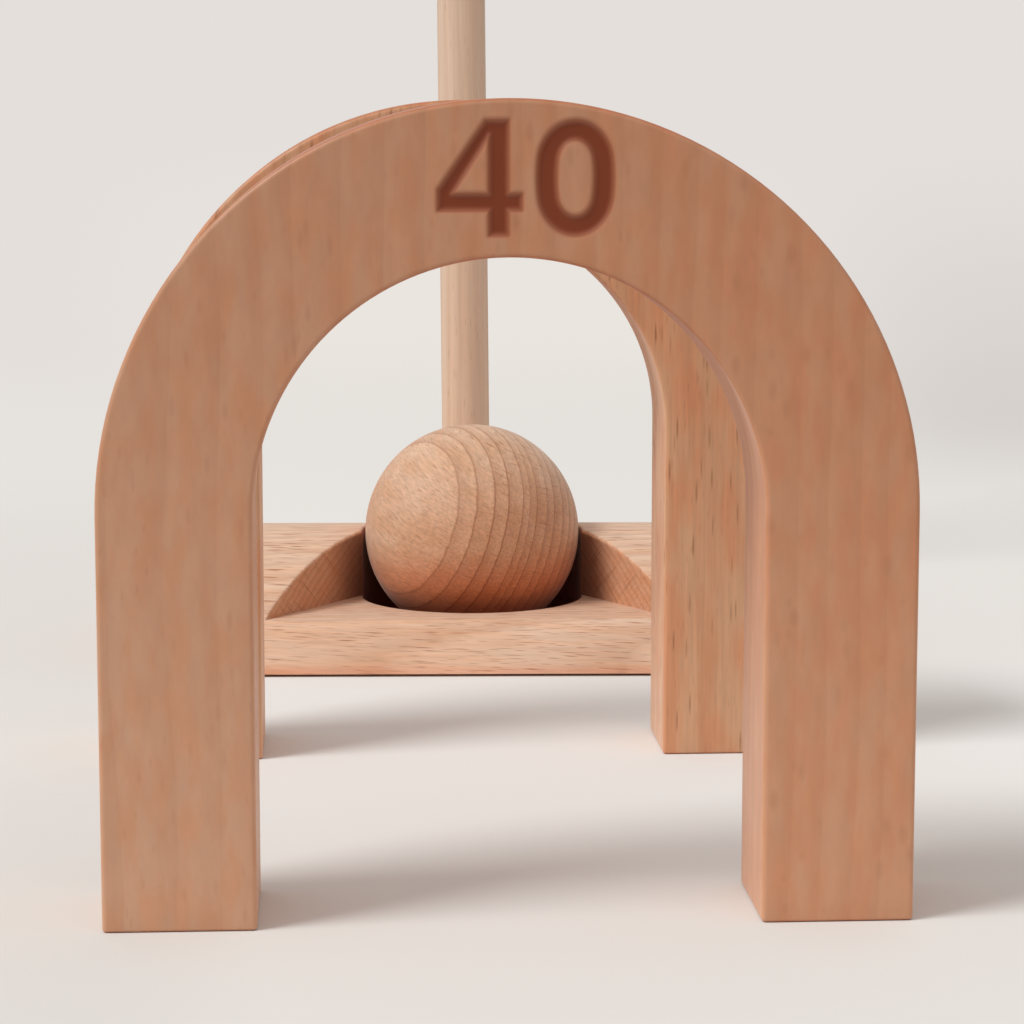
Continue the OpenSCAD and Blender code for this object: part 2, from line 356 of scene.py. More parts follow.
def cradle(material):
    """Rays run out from the pocket's axis, which is the frame's Z. Along each one the surface goes across
    the pocket's bottom, up its wall, over the notch's floor, up the notch's wall, over the dome, down the
    outside and back under the block. Every stretch is worked out as distance from the axis and height,
    and every outer corner is rounded off. The dome's crest lies a little behind the pocket's axis."""
    box = node_box("ball_cradle")
    length, depth, height = box.size
    dome_r = (height ** 2 + (depth / 2) ** 2) / (2 * height)
    dome_z = height - dome_r
    crest = box.middle[1]
    half = math.sqrt(dome_r ** 2 - (UNDER_RISE - dome_z) ** 2)
    front, back = half - crest, half + crest
    pocket_r = node_box("ball").size[2] / 2 + POCKET_GAP
    mouth_y = math.sqrt(dome_r ** 2 - (NOTCH_FLOOR - dome_z) ** 2) - crest
    angle = ray_angles(front, back, length / 2, math.atan2(mouth_y, NOTCH_MOUTH / 2))
    across, along = np.cos(angle), np.sin(angle)

    def dome(reach):
        """Height of the dome at a distance along each ray: a circle's arc over the way along Y, and
        never below the floor."""
        way_y = (reach.T * along).T
        return dome_z + np.sqrt(np.maximum(dome_r ** 2 - (way_y - crest) ** 2, dome_z ** 2))

    def at(reach, level):
        """Points at a distance along each ray and at a height."""
        return np.stack([reach, level], -1)

    # distances from the axis: the notch's wall or mouth, and the outside of the block
    widening = (NOTCH_MOUTH / 2 - pocket_r) / mouth_y
    in_notch = along < -TINY
    to_wall = pocket_r / np.maximum(np.abs(across) + widening * along, TINY)
    to_mouth = mouth_y / np.maximum(-along, TINY)
    at_mouth = in_notch & ((np.abs(across) + widening * along <= 0) | (to_mouth <= to_wall + TINY))
    wall = np.where(in_notch, np.where(at_mouth, to_mouth, to_wall), pocket_r)
    to_side = length / 2 / np.maximum(np.abs(across), TINY)
    end = np.minimum(to_side, np.where(along < 0, front, back) / np.maximum(np.abs(along), TINY))

    foot = np.full_like(angle, NOTCH_FLOOR)
    top = np.where(at_mouth, NOTCH_FLOOR, dome(wall))
    outside = dome(end)
    zero = np.zeros_like(angle)
    rim = np.minimum(RIM_EDGE, (top - foot) / 2)
    to_corner = np.abs(NOTCH_MOUTH / 2 - np.abs(wall * across))
    lip = np.where(at_mouth, MOUTH_EDGE * smooth_step(to_corner, 0, 2 * MOUTH_EDGE), rim)
    pocket_edge = np.minimum(POCKET_EDGE, (wall - pocket_r) / 2)
    shoulder = np.minimum(CRADLE_EDGE, (outside - UNDER_RISE) / 2.5)
    rise = zero + UNDER_RISE

    # the stretches of every ray, from the pocket's bottom out over the dome and back under the block
    lip_start = np.where(at_mouth[:, None], at(wall - lip, foot), at(wall, top - lip))
    floor_end = np.where(at_mouth[:, None], lip_start, at(wall, foot))
    share = np.linspace(0, 1, 26, endpoint=False)
    reach = (wall + lip)[:, None] + share * (end - shoulder - wall - lip)[:, None]
    side_top = at(end, outside - shoulder)
    bottom_rim, wall_top = at(zero + pocket_r, zero + POCKET_FLOOR), at(zero + pocket_r, foot - pocket_edge)
    floor_start = at(pocket_r + pocket_edge, foot)
    under = at(end - UNDER_RUN, zero)
    line = np.concatenate([
        stretch(at(zero, zero + POCKET_FLOOR), bottom_rim, 6),
        stretch(bottom_rim, wall_top, 6),
        bend(wall_top, at(zero + pocket_r, foot), floor_start, 5),
        stretch(floor_start, floor_end, 8),
        stretch(floor_end, lip_start, 8),
        bend(lip_start, at(wall, top), at(wall + lip, dome(wall + lip)), 7),
        at(reach, dome(reach)),
        bend(at(end - shoulder, dome(end - shoulder)), at(end, outside), side_top, 6),
        stretch(side_top, at(end, rise), 5),
        bend(at(end, rise), at(end - UNDER_RUN / 8, 0.7 * rise), under, 6),
        stretch(under, at(zero, zero), 5),
        at(zero, zero)[:, None],
    ], axis=1)
    points = np.stack([line[..., 0] * across[:, None], line[..., 0] * along[:, None], line[..., 1]], -1)
    # rays are the columns that close up, and the stretches along them are the rows
    points = points.transpose(1, 0, 2)
    rows, columns = points.shape[:2]
    faces = grid_faces(rows, columns, closed=True).tolist()
    return piece("cradle_block", points, faces, material, "cradle", "ball_cradle")


# Mallet

def round_over(radius, edge, count=7):
    """Radius and height below the rim of a quarter circle that turns a side into an end face."""
    turn = np.linspace(0, math.pi / 2, count)
    return radius - edge + edge * np.cos(turn), edge - edge * np.sin(turn)


def leaning(radius, height):
    """Circles of each radius at each height above the handle's foot, leaned over with the handle: turned
    by the lean about the foot's middle, in the plane of X and Z."""
    foot = node_box("mallet_head").middle
    foot[2] = node_box("mallet_handle").lowest[2] + HANDLE_D / 2 * math.sin(HANDLE_LEAN)
    angle = np.linspace(0, 2 * math.pi, DOWEL_POINTS, endpoint=False)
    x, y = radius[:, None] * np.cos(angle), radius[:, None] * np.sin(angle)
    z = np.broadcast_to(height[:, None], x.shape)
    c, s = math.cos(HANDLE_LEAN), math.sin(HANDLE_LEAN)
    return foot + np.stack([x * c - z * s, y, x * s + z * c], -1)


def handle(material):
    """A straight dowel: a circle carried up, with its upper end rounded over a quarter circle and the
    lower one, inside the head, broken by a fine bevel."""
    radius = HANDLE_D / 2
    height = node_box("mallet_handle").size[2]
    length = (height - HANDLE_D * math.sin(HANDLE_LEAN)) / math.cos(HANDLE_LEAN)
    round_r, below = round_over(radius, HANDLE_EDGE)
    side = np.linspace(FOOT_BEVEL, length - HANDLE_EDGE, 24, endpoint=False)
    r = np.concatenate([[0, radius - FOOT_BEVEL], np.full_like(side, radius), round_r, [0]])
    z = np.concatenate([[0, 0], side, length - below, [length]])
    faces = grid_faces(len(r), DOWEL_POINTS, closed=True).tolist()
    return piece("handle_dowel", leaning(r, z), faces, material, "mallet", "mallet_handle")


def head(material):
    """A barrel turned about Y: a circle carried from face to face, drawn in over a quarter circle at each
    rim. Underneath, the circle's radius is cut short to the sole's height over the cosine of the angle
    from straight down, which planes the sole flat. The handle's bore is then cut from above."""
    box = node_box("mallet_head")
    radius = box.size[0] / 2
    axis_z = box.highest[2] - radius
    half = box.size[1] / 2
    round_r, below = round_over(radius, HEAD_EDGE)
    face_r = np.linspace(0, radius - HEAD_EDGE, 8)[:-1]
    face_y = np.full_like(face_r, half)
    side = np.linspace(HEAD_EDGE - half, half - HEAD_EDGE, 30)[1:-1]
    r = np.concatenate([face_r, round_r[::-1], np.full_like(side, radius), round_r, face_r[::-1]])
    y = np.concatenate([-face_y, -half + below[::-1], side, half - below, face_y])
    sole = math.asin(SOLE_W / 2 / radius)
    over_sole = np.linspace(-sole, sole, 13, endpoint=False)
    round_side = np.linspace(sole, 2 * math.pi - sole, 110, endpoint=False)
    angle = np.concatenate([over_sole, round_side])
    to_sole = axis_z / np.maximum(np.cos(angle), TINY)
    limit = np.where(np.cos(angle) > math.cos(sole) - TINY, to_sole, 2 * radius)
    cut_r = np.minimum(r[:, None], limit)
    points = np.stack([
        box.middle[0] + cut_r * np.sin(angle), np.broadcast_to(box.middle[1] + y[:, None], cut_r.shape),
        axis_z - cut_r * np.cos(angle),
    ], -1)
    faces = grid_faces(len(r), len(angle), closed=True).tolist()
    made = piece("head_barrel", points, faces, material, "mallet", "mallet_head")
    cut_bore(made)
    return made


def cut_bore(barrel):
    """Takes the handle's blind bore out of the head: a circle carried down from above, with a flare that
    breaks the bore's edge."""
    rim = node_box("mallet_head").highest[2] - node_box("mallet_handle").lowest[2]
    radius = HANDLE_D / 2 + GLUE_GAP
    past = 1  # overrun of the cutter past the head's top
    r = np.array([0, radius, radius, radius + BORE_EDGE + past, 0])
    z = np.array([0, 0, rim - BORE_EDGE, rim + past, rim + past])
    mesh = bpy.data.meshes.new("bore")
    points = leaning(r, z).reshape(-1, 3) * MM
    mesh.from_pydata(points.tolist(), [], grid_faces(len(r), DOWEL_POINTS, closed=True).tolist())
    close_up(mesh)
    cutter = bpy.data.objects.new("bore", mesh)
    bpy.context.scene.collection.objects.link(cutter)
    cut = barrel.modifiers.new("bore", "BOOLEAN")
    cut.object = cutter
    cut.solver = "EXACT"
    bored = bpy.data.meshes.new_from_object(barrel.evaluated_get(bpy.context.evaluated_depsgraph_get()))
    barrel.modifiers.clear()
    barrel.data = bored
    bored.set_sharp_from_angle(angle=CREASE)
    bpy.data.objects.remove(cutter)


# Materials

EASED = {"interpolation_type": "SMOOTHSTEP"}  # for a Map Range that starts and ends softly
SLOW_WAVES = (0.045, 0.045, 0.014)  # how often the trunk's slow waves come per millimetre, z along the grain
QUICK_WAVES = (0.6, 0.6, 0.09)
QUICK_WAVE = 0.35        # how far the quick waves bend a ring, in millimetres
END_GRAIN = "#EAC4A6"    # what end grain leaves of the light, because its open pores swallow some
NOTCH_PAINTED_SHADE = "#7A6154"   # painted shade on the steep walls beside the pocket: what it leaves of the light
POCKET_PAINTED_SHADE = "#BC8367"  # painted shade in the pocket: what it leaves of the light
SCORCHED = "#A9623F"     # wood browned by the stamp's heat
CHAR = "#83350D"         # wood charred by the stamp


def linear(code):
    """The linear colour of an sRGB hex code."""
    value = np.array([int(code[i:i + 2], 16) for i in (1, 3, 5)]) / 255
    light = np.where(value <= 0.04045, value / 12.92, ((value + 0.055) / 1.055) ** 2.4)
    return (*light.tolist(), 1.0)


def add(tree, kind, inputs=None, **settings):
    """Adds one node. The settings are its properties. An input is a plain value, a socket that feeds it,
    or a node whose first live output feeds it."""
    node = tree.nodes.new("ShaderNode" + kind)
    for name, value in settings.items():
        setattr(node, name, value)
    for name, value in (inputs or {}).items():
        if isinstance(value, bpy.types.Node):
            value = next(socket for socket in value.outputs if socket.enabled)
        if isinstance(value, bpy.types.NodeSocket):
            tree.links.new(value, node.inputs[name])
        else:
            node.inputs[name].default_value = value
    return node


def new_material(name):
    """A material with an empty node tree, and that tree."""
    material = bpy.data.materials.new(name)
    material.use_nodes = True
    material.node_tree.nodes.clear()
    return material, material.node_tree


def year_lines(reach, width, seed):
    """Where the years end, outward from a piece's middle: pairs of a distance in millimetres and a number
    of years, for years of uneven width from reach inside the middle to reach outside it."""
    widths = width * np.random.default_rng(seed).uniform(0.75, 1.25, int(2.4 * reach / width))
    return [(float(distance), i) for i, distance in enumerate(np.cumsum(widths) - reach)]


def in_trunk(tree, place, node, grain, outward, pith):
    """A point's place in the trunk, in millimetres from the pith: z runs along the grain, and x runs
    outward through the middle of the piece, which lies pith millimetres out."""
    outward = Vector(outward)
    outward = (outward - grain * outward.dot(grain)).normalized()
    turn = Matrix((outward, grain.cross(outward), grain))
    shift = Vector((pith, 0, 0)) - turn @ Vector(node_box(node).middle)
    return add(tree, "Mapping", {
        "Vector": place, "Location": shift, "Rotation": turn.to_euler("XYZ"), "Scale": (1 / MM,) * 3,
    })


def year_rings(tree, trunk, from_pith, years, pith, wave):
    """Growth rings: the distance from the pith is bent by slow and quick waves of the tree's growth, and a
    curve turns it into a number of years, a whole number where a year ends. Gives how much late wood
    shows, how much of the line that ends a year, and a number of chance for every year."""
    slow = add(tree, "VectorMath", {0: trunk, 1: SLOW_WAVES}, operation="MULTIPLY")
    slow = add(tree, "TexNoise", {"Vector": slow, "Scale": 1.0, "Detail": 1.0})
    quick = add(tree, "VectorMath", {0: trunk, 1: QUICK_WAVES}, operation="MULTIPLY")
    quick = add(tree, "TexNoise", {"Vector": quick, "Scale": 1.0, "Detail": 2.0})
    bent = add(tree, "Math", {0: slow, 1: 2 * wave, 2: from_pith}, operation="MULTIPLY_ADD")
    bent = add(tree, "Math", {0: quick, 1: QUICK_WAVE, 2: bent}, operation="MULTIPLY_ADD")

    start = pith + wave + QUICK_WAVE / 2
    (inmost, least), (outmost, most) = years[0], years[-1]
    share = add(tree, "MapRange", {"Value": bent, "From Min": start + inmost, "From Max": start + outmost})
    count = add(tree, "FloatCurve", {"Value": share})
    points = count.mapping.curves[0].points
    for distance, number in years[1:-1]:
        points.new((distance - inmost) / (outmost - inmost), (number - least) / (most - least))
    for point in points:
        point.handle_type = "VECTOR"
    count.mapping.update()
    count = add(tree, "Math", {0: count, 1: most - least, 2: least}, operation="MULTIPLY_ADD")

    # late wood darkens slowly through a year and stops short at its end
    phase = add(tree, "Math", {0: count}, operation="FRACT")
    rising = add(tree, "MapRange", {"Value": phase, "From Min": 0.2, "From Max": 0.95}, **EASED)
    falling = add(tree, "MapRange", {"Value": phase, "From Min": 1.0, "From Max": 0.95}, **EASED)
    band = add(tree, "Math", {0: rising, 1: falling}, operation="MULTIPLY")

    # the line reaches a tenth of a year to both sides, and some years end in a fainter one
    beside = add(tree, "Math", {0: count, 1: 0.5}, operation="PINGPONG")
    edge = add(tree, "MapRange", {"Value": beside, "From Min": 0.09, "From Max": 0.01}, **EASED)
    nearest = add(tree, "Math", {0: count}, operation="ROUND")
    uneven = add(tree, "TexWhiteNoise", {"W": nearest}, noise_dimensions="1D")
    uneven = add(tree, "MapRange", {"Value": uneven, "To Min": 0.45, "To Max": 1.0})
    edge = add(tree, "Math", {0: edge, 1: uneven}, operation="MULTIPLY")

    year = add(tree, "Math", {0: count}, operation="FLOOR")
    return band, edge, add(tree, "TexWhiteNoise", {"W": year}, noise_dimensions="1D")


def ray_marks(tree, trunk, from_pith, rays, pith):
    """Rays: thin sheets that stand along the grain and run towards the bark. The trunk is unrolled round
    its pith, and every cell of the unrolled wood holds one ray, darkest in its middle. Real ones are 1 to
    4 mm high and up to 0.2 mm thick, and these are drawn larger so that they show."""
    parts = add(tree, "SeparateXYZ", {0: trunk})
    angle = add(tree, "Math", {0: parts.outputs[1], 1: parts.outputs[0]}, operation="ARCTAN2")
    aside = add(tree, "Math", {0: angle, 1: pith}, operation="MULTIPLY")
    rolled = add(tree, "CombineXYZ", {0: from_pith, 1: aside, 2: parts.outputs[2]})
    dashes = 0.0
    for number, (half_height, half_width, half_depth, fill, strength) in enumerate(rays):
        scale = (fill / half_depth, fill / half_width, fill / half_height)
        shift = (31.7 * number,) * 3  # gives each size of ray a pattern of its own
        cells = add(tree, "VectorMath", {0: rolled, 1: scale, 2: shift}, operation="MULTIPLY_ADD")
        cells = add(tree, "TexVoronoi", {"Vector": cells, "Scale": 1.0, "Randomness": 1.0}, feature="F1")
        mark = {"Value": cells, "From Min": fill, "From Max": 0.25 * fill, "To Max": strength}
        mark = add(tree, "MapRange", mark, **EASED)
        own = add(tree, "SeparateXYZ", {0: cells.outputs["Color"]})
        own = add(tree, "MapRange", {"Value": own, "From Max": 0.7, "To Min": 0.25})
        mark = add(tree, "Math", {0: mark, 1: own}, operation="MULTIPLY")
        dashes = add(tree, "Math", {0: mark, 1: dashes}, operation="ADD")
    return dashes


def fibres_and_streaks(tree, trunk, fibres, streaks):
    """Fibres and soft warm streaks: two noises, drawn out along the grain. Real fibres are too fine to
    show, so these are drawn a few tenths of a millimetre wide, and on the front wicket one millimetre."""
    wide, long, strength = fibres
    scale = (0.5 / wide, 0.5 / wide, 0.5 / long)
    fibre = add(tree, "VectorMath", {0: trunk, 1: scale}, operation="MULTIPLY")
    fibre = add(tree, "TexNoise", {"Vector": fibre, "Scale": 1.0, "Detail": 3.0, "Roughness": 0.6})
    grey = add(tree, "MapRange", {
        "Value": fibre, "From Min": 0.32, "From Max": 0.68,
        "To Min": 1 - strength, "To Max": 1 + 0.7 * strength,
    })
    wide, long, strength = streaks
    scale = (0.5 / wide, 0.5 / wide, 0.5 / long)
    streak = add(tree, "VectorMath", {0: trunk, 1: scale}, operation="MULTIPLY")
    streak = add(tree, "TexNoise", {"Vector": streak, "Scale": 1.0, "Detail": 2.0, "Roughness": 0.5})
    streak = {"Value": streak, "From Min": 0.35, "From Max": 0.68, "To Max": strength}
    streak = add(tree, "MapRange", streak, **EASED)
    return fibre, add(tree, "CombineColor", {0: grey, 1: grey, 2: grey}), streak


def painted_pocket_shade(tree, place, normal, radius, reach):
    """Painted shade: a bored pocket of that radius round the frame's Z is painted darker, and so are the
    steep walls beside it, less and less over the reach. Gives the painted shade's tone and how much of it
    shows."""
    level = add(tree, "VectorMath", {0: place, 1: (1, 1, 0)}, operation="MULTIPLY")
    away = add(tree, "VectorMath", {0: level}, operation="LENGTH")
    inside = add(tree, "MapRange", {"Value": away, "From Min": (radius + 0.25) * MM, "From Max": radius * MM})
    beside = add(tree, "MapRange", {
        "Value": away, "From Min": (radius + reach) * MM, "From Max": radius * MM, "To Max": 0.8,
    }, **EASED)
    upward = add(tree, "SeparateXYZ", {0: normal}).outputs[2]
    steep = add(tree, "MapRange", {"Value": upward, "From Min": 0.4, "From Max": 0.1})
    beside = add(tree, "Math", {0: beside, 1: steep}, operation="MULTIPLY")
    tone = add(tree, "Mix", {0: inside, 6: linear(NOTCH_PAINTED_SHADE), 7: linear(POCKET_PAINTED_SHADE)}, data_type="RGBA")
    return tone, add(tree, "Math", {0: inside, 1: beside}, operation="MAXIMUM")


def beech(name, node, grain, outward, pith, tones, years, late, line, end_line, streaks, fibres, rays, wave,
          year_warmth=0.0, end=1.0, sides=None, tinted=(), shaded_pocket=None, burnt=None, roughness=0.55):
    """Steamed beech, cut and sanded fine, then oiled thin. The eye sees growth rings as bands that end in a
    thin dark line, rays as short dark dashes along the grain (on end grain as fine lines towards the
    bark), soft warmer streaks, and end grain that is darker and redder, with no gloss but a soft sheen.

    The pattern is solid, as in a piece cut from a trunk, so every face shows the cut that a saw would have
    made. Grain is the way of the fibres and outward the way to the bark, in the frame, and pith is how far
    the piece's middle lies from the pith. All lengths are in millimetres.

    Tones are those of the wood, its warm streaks, its late wood and its rays. Years are pairs as from
    year_lines, wave is how far the slow waves bend them, and year_warmth how much warmer some years are.
    Late and line say how much the late wood and a year's last line show, and end_line how much more the
    line does on end grain. Streaks and fibres have a width, a length and a strength. Each size of ray has
    half a height, half a width, half a depth, how much of its own cell a ray fills, and a strength.

    End is how much end grain shows, and sides the paler tone painted on a board's sawn sides, which look
    along the frame's X, as painted sheen for the glancing reflection that they catch. Tinted lists tones
    laid over the wood, most of them painted shade, each with a way in the frame and the two places along
    it between which it sets in. The pocket shade is the radius of a pocket painted darker as painted
    shade, and the reach round it over which the steep walls beside it are painted darker too, and burnt
    is the tone of char where the mesh's burn is 1."""
    material, tree = new_material(name)
    wood, warm, late_wood, ray_tone = (linear(code) for code in tones)
    grain = Vector(grain).normalized()
    where = add(tree, "TexCoord")
    place, normal = where.outputs["Object"], where.outputs["Normal"]
    trunk = in_trunk(tree, place, node, grain, outward, pith)
    level = add(tree, "VectorMath", {0: trunk, 1: (1, 1, 0)}, operation="MULTIPLY")
    from_pith = add(tree, "VectorMath", {0: level}, operation="LENGTH")
    band, edge, year = year_rings(tree, trunk, from_pith, years, pith, wave)
    fibre, grey, streak = fibres_and_streaks(tree, trunk, fibres, streaks)
    streak = add(tree, "Math", {0: year, 1: year_warmth, 2: streak}, operation="MULTIPLY_ADD")

    # end grain shows where a face looks along the fibres, with the rays as fainter, fine lines
    facing = add(tree, "VectorMath", {0: normal, 1: grain}, operation="DOT_PRODUCT")
    facing = add(tree, "Math", {0: facing}, operation="ABSOLUTE")
    ends = {"Value": facing, "From Min": 0.25, "From Max": 0.95, "To Max": end}
    ends = add(tree, "MapRange", ends, **EASED)
    fainter = add(tree, "MapRange", {"Value": ends, "To Min": 1.0, "To Max": 0.45})
    dashes = ray_marks(tree, trunk, from_pith, rays, pith)
    dashes = add(tree, "Math", {0: dashes, 1: fainter}, operation="MULTIPLY")

    band = add(tree, "Math", {0: band, 1: late}, operation="MULTIPLY")
    edge_share = add(tree, "Math", {0: ends, 1: end_line, 2: line}, operation="MULTIPLY_ADD")
    edge = add(tree, "Math", {0: edge, 1: edge_share}, operation="MULTIPLY")
    layers = [
        ("MIX", warm, streak), ("MIX", late_wood, band), ("MIX", late_wood, edge),
        ("MIX", ray_tone, dashes), ("MULTIPLY", grey, 1.0), ("MULTIPLY", linear(END_GRAIN), ends),
    ]
    # painted sheen: faces that look along the frame's X take the paler sides tone, for the glancing
    # reflection of the bright room on them
    if sides:
        looks = add(tree, "SeparateXYZ", {0: normal})
        looks = add(tree, "Math", {0: looks}, operation="ABSOLUTE")
        looks = add(tree, "MapRange", {"Value": looks, "From Min": 0.6, "From Max": 0.95}, **EASED)
        layers.insert(0, ("MIX", linear(sides), looks))
    # tones laid on along a way in the frame; most of them are painted shade
    for tone, way, start, full in tinted:
        rise = add(tree, "VectorMath", {0: place, 1: way}, operation="DOT_PRODUCT")
        rise = add(tree, "MapRange", {"Value": rise, "From Min": start * MM, "From Max": full * MM}, **EASED)
        layers.append(("MULTIPLY", linear(tone), rise))
    # painted shade: the pocket and the steep walls beside it are painted darker
    if shaded_pocket:
        layers.append(("MULTIPLY", *painted_pocket_shade(tree, place, normal, *shaded_pocket)))
    if burnt:
        # the stamp leaves char in the strokes and a brown edge round them
        burn = add(tree, "Attribute", attribute_name="burn").outputs["Fac"]
        browned = add(tree, "MapRange", {"Value": burn, "From Max": 0.5, "To Max": 0.85})
        charred = add(tree, "MapRange", {"Value": burn, "From Min": 0.3})
        layers += [("MIX", linear(SCORCHED), browned), ("MIX", linear(burnt), charred)]
    colour = wood
    for blend, tone, share in layers:
        colour = add(tree, "Mix", {0: share, 6: colour, 7: tone}, data_type="RGBA", blend_type=blend)

    # fibres stand up by about a hundredth of a millimetre, and rays lie a little lower
    relief = add(tree, "Math", {0: dashes, 1: -0.35, 2: fibre}, operation="MULTIPLY_ADD")
    bump = add(tree, "Bump", {"Height": relief, "Strength": 0.25, "Distance": 0.05 * MM})
    rough = add(tree, "MapRange", {
        "Value": fibre, "From Min": 0.2, "From Max": 0.8,
        "To Min": roughness - 0.05, "To Max": roughness + 0.05,
    })
    shader = add(tree, "BsdfPrincipled", {
        "Base Color": colour, "Roughness": rough, "IOR": 1.45, "Normal": bump,
        "Sheen Weight": 0.22, "Sheen Roughness": 0.5, "Sheen Tint": linear("#FFF6EE"),
    })
    add(tree, "OutputMaterial", {"Surface": shader})
    return material


# a sanded board, cut so that the years run up the face as broad soft bands with hardly a fleck
front_beech = beech(
    "steamed_beech_sanded_front_wicket", "front_wicket", grain=(0, 0, 1), outward=(0.75, -0.66, 0), pith=160,
    # sides is painted sheen on the board's sides, which look along X
    tones=("#CF9F80", "#D19069", "#B97F5C", "#A86F4E"), sides="#DBA47D", roughness=0.45, burnt=CHAR,
    years=year_lines(75, 3.2, 3), wave=2.0, late=0.2, line=0.08, end_line=0.3,
    streaks=(1.4, 4, 0.55), fibres=(1.0, 3, 0.045),
    rays=[(1.8, 0.45, 5.0, 0.26, 0.22), (1.0, 0.3, 3.0, 0.22, 0.15)],
    # painted shade: the board darkens towards its crown, which gets less light back from the floor; it is
    # also a little darker and warmer towards its right
    tinted=[("#FBF3EE", (0, 0, 1), 10, 75), ("#FFF4EB", (1, 0, 0), -50, 50)])

# a sanded board, with the short dark dashes of its rays on the face; its paler sides are painted sheen
rear_beech = beech(
    "steamed_beech_sanded_rear_wicket", "rear_wicket", grain=(0, 0, 1), outward=(-0.5, -0.87, 0), pith=120,
    tones=("#D8A782", "#DA9166", "#BC8059", "#94623E"), sides="#E8B790", roughness=0.45, burnt=CHAR,
    years=year_lines(75, 2.8, 5), wave=2.0, late=0.25, line=0.15, end_line=0.3,
    streaks=(1.9, 6.5, 0.7), fibres=(0.3, 8, 0.09),
    rays=[(2.5, 0.25, 5.0, 0.28, 0.8), (1.2, 0.14, 3.0, 0.25, 0.4)],
    # painted shade: the board darkens towards its crown, which gets less light back from the floor
    tinted=[("#FBF3EE", (0, 0, 1), 10, 75)])

# a bar moulded along its length: pale, with long fine dashes on dome and front, and end grain in the notch
cradle_beech = beech(
    "steamed_beech_moulded_cradle", "ball_cradle", grain=(1, 0, -0.06), outward=(0, -0.632, 0.775), pith=150,
    # painted shade: the pocket and the steep notch walls beside it are painted darker
    tones=("#E6C5AB", "#E5AF88", "#B57F5C", "#9C5A34"), end=0.75, shaded_pocket=(20.55, 9.5),
    years=year_lines(50, 1.4, 8), wave=1.2, year_warmth=0.3, late=0.25, line=0.25, end_line=0.55,
    streaks=(1.2, 12, 0.45), fibres=(0.25, 5, 0.1),
    rays=[(3.0, 0.14, 6.0, 0.32, 1.0), (1.6, 0.1, 3.0, 0.31, 0.75)],
    # the block is a little darker and warmer in its lowest 2.4 mm, by the floor
    tinted=[("#FBE2D8", (0, 0, 1), 2.4, 0.8)])

# the ball's years, of which the last is broad and makes the cap, with no ring of its own
BALL_YEARS = list(zip(
    [-21, -18.6, -16, -13.4, -10.8, -8.6, -6.2, -3.5, -1.5, 1, 2.5, 3.9, 6.6, 8.95, 11.7, 14.2, 15.4, 20],
    [*range(81, 97), 96.45, 96.75],
))

# turned, so that the years come out as sharp dark circles round a plain, finely mottled cap
ball_beech = beech(
    "steamed_beech_turned_ball", "ball", grain=(0.46, -0.8, -0.35), outward=(-0.78, -0.576, 0.245), pith=300,
    tones=("#E2BA9B", "#D4A079", "#A66F4D", "#99592F"), end=0.65,
    years=BALL_YEARS, wave=0.5, late=0.28, line=0.85, end_line=0.1,
    streaks=(2.0, 5, 0.6), fibres=(0.22, 1.8, 0.18),
    rays=[(1.1, 0.11, 3.0, 0.33, 0.5), (0.6, 0.09, 1.5, 0.32, 0.4)],
    # painted shade: the ball's lower half is darker and warmer, for the pocket's shade and the warm light
    # that the cradle throws back on it
    tinted=[("#F3C7AC", (0, 0, 1), 21.5, 12.5)])

# turned, with stripes along the barrel and arcs across its faces
head_beech = beech(
    "steamed_beech_turned_head", "mallet_head", grain=(0, 1, 0), outward=(0.3, 0, -1), pith=60,
    tones=("#D4A582", "#D19468", "#B37E5A", "#9E6A47"),
    years=year_lines(30, 2.4, 13), wave=1.2, late=0.3, line=0.35, end_line=0.3,
    streaks=(1.4, 14, 0.4), fibres=(0.3, 5, 0.08),
    rays=[(1.8, 0.16, 5.0, 0.28, 0.7), (0.9, 0.11, 3.0, 0.26, 0.5)])

# a drawn and sanded dowel: pale, with long faint stripes and few flecks
dowel_beech = beech(
    "steamed_beech_dowel", "mallet_handle", grain=(-0.0087, 0, 1), outward=(0.5, -0.87, 0), pith=90,
    tones=("#E4C6AE", "#E3B896", "#C49A78", "#B08563"),
    years=year_lines(12, 2.2, 21), wave=0.8, late=0.2, line=0.12, end_line=0.2,
    streaks=(1.0, 30, 0.35), fibres=(0.3, 9, 0.05), rays=[(1.4, 0.12, 4.0, 0.24, 0.3)])


# Pieces of the set

wicket("front_wicket", four_distance, FOUR_W, front_beech)
wicket("rear_wicket", three_distance, THREE_W, rear_beech)
cradle(cradle_beech)
ball(ball_beech)
head(head_beech)
handle(dowel_beech)


# Floor, light and camera

SET_MIDDLE = (0, -0.1, 0)    # on the floor, in metres
BACKDROP = "#E4DFDB"         # pale warm grey
BACKDROP_BRIGHT = "#EAE5DF"  # behind the set's middle, where the window's light is fullest
BACKDROP_DUSK = "#D9D4CF"    # at the right, where it falls off
PAPER = "#E8E5E1"
PAPER_PAINTED_LIGHT_AMID = "#ECEAE7"       # painted light: lighter between the pieces, as if the pale wood lit it from both sides, which pales their shadows there
PAPER_PAINTED_SHADE_FRONT = "#E6E3DF"      # painted shade: darker in front of the pieces, which deepens their shadows there
PAPER_DUSK = "#DAD6D2"
PAPER_DIM = "#59524D"        # its far part as the pieces are lit by it, as in a dark room
WORLD_LIGHT = "#FFFBF9"      # warm white
WINDOW_LIGHT = "#FBFFFF"     # cool white


